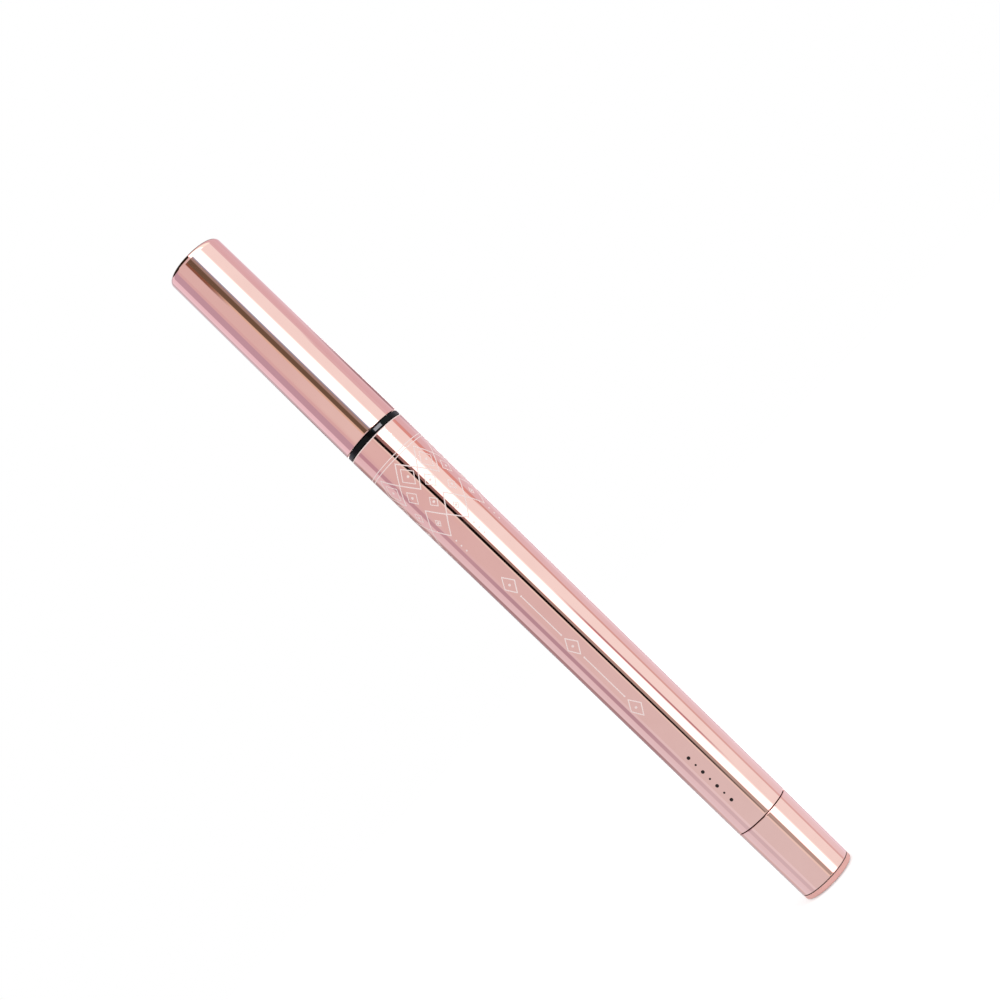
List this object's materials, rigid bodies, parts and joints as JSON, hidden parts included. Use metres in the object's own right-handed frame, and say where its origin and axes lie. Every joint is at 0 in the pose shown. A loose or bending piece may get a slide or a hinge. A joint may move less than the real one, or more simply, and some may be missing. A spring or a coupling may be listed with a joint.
{
  "type": "liquid eyeliner pen",
  "caption": "Slim twist-feed liquid eyeliner pen with a pull-off cap over a brush tip and a turning tail knob that feeds the liquid.",
  "frame": {"origin": "centre of the tail's flat face, which the pen stands on", "axes": "+Z along the pen's axis from the tail towards the cap's closed end; +X and +Y across it"},
  "size_m": [0.0104, 0.0104, 0.136],
  "materials": {
    "rose_gold": "mirror-polished, rose-gold anodised",
    "pink_plastic": "satin pink moulding",
    "black_plastic": "glossy black moulding",
    "natural_plastic": "milky, uncoloured moulding",
    "white_plastic": "white moulding",
    "soft_seal": "soft grey elastomer",
    "black_rubber": "black sealing rubber",
    "steel": "bright stainless steel",
    "bristle": "fine dark synthetic bristle"
  },
  "bodies": {
    "barrel": {"barrel_shell": "rose_gold", "reservoir_tube": "natural_plastic", "mechanism_housing": "white_plastic", "screw_nut": "white_plastic", "ratchet_ring": "natural_plastic", "neck_collar": "black_plastic", "neck_o_ring": "black_rubber", "pipe_holder": "natural_plastic", "feed_pipe": "steel", "nozzle_cone": "black_plastic", "brush_tuft": "bristle", "brush_retainer": "natural_plastic"},
    "knob": {"end_disc": "pink_plastic", "knob_shell": "rose_gold", "knob_core": "white_plastic", "drive_sleeve": "natural_plastic", "bearing_bush": "natural_plastic", "knob_o_ring": "black_rubber", "click_pawl": "white_plastic"},
    "piston": {"piston": "soft_seal", "mixing_ball": "steel"},
    "screw": {"screw_rod": "white_plastic"},
    "cap": {"cap_shell": "rose_gold", "cap_liner": "natural_plastic", "cap_seal": "soft_seal"}
  },
  "joints": [
    {"name": "knob_turn", "type": "hinge", "parent": "barrel", "child": "knob", "pos_m": [0, 0, 0], "axis": [0, 0, 1], "range_deg": [0, 5796]},
    {"name": "piston_feed", "type": "slide", "parent": "barrel", "child": "piston", "axis": [0, 0, 1], "range_m": [0, 0.032]},
    {"name": "screw_turn", "type": "hinge", "parent": "piston", "child": "screw", "pos_m": [0, 0, 0], "axis": [0, 0, 1], "range_deg": [0, 5796]},
    {"name": "cap_pull", "type": "slide", "parent": "barrel", "child": "cap", "axis": [0, 0, 1], "range_m": [0, 0.04]}
  ],
  "couplings": [
    {"joint": "knob_turn", "follows": "piston_feed", "rad_per_m": 3141.6},
    {"joint": "screw_turn", "follows": "piston_feed", "rad_per_m": 3141.6}
  ]
}
